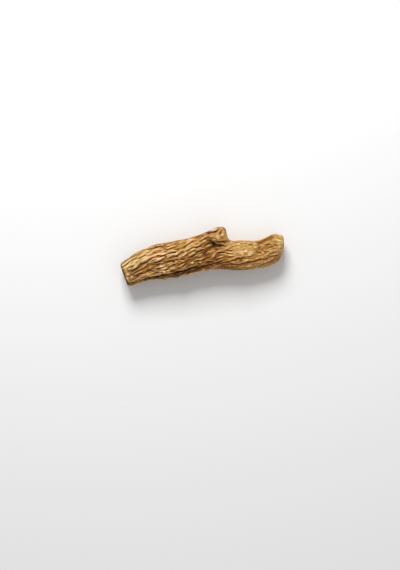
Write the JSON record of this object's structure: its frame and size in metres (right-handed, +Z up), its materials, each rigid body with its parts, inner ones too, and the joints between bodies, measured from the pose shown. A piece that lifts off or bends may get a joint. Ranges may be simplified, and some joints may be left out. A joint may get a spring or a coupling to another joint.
{
  "type": "costus root",
  "caption": "Short thick piece of dried costus root, ribbed lengthwise, cut at one end, broken at the other, with the stub of a side root, lying on its belly.",
  "frame": {"origin": "middle of the root's bounding box, on the surface that it lies on", "axes": "+X along the root from the cut end to the broken end, +Y towards the side with the stub, +Z up"},
  "size_m": [0.083, 0.0236, 0.0155],
  "materials": {
    "bark": "matte"
  },
  "bodies": {
    "root": {"costus_root": "bark"}
  },
  "joints": []
}
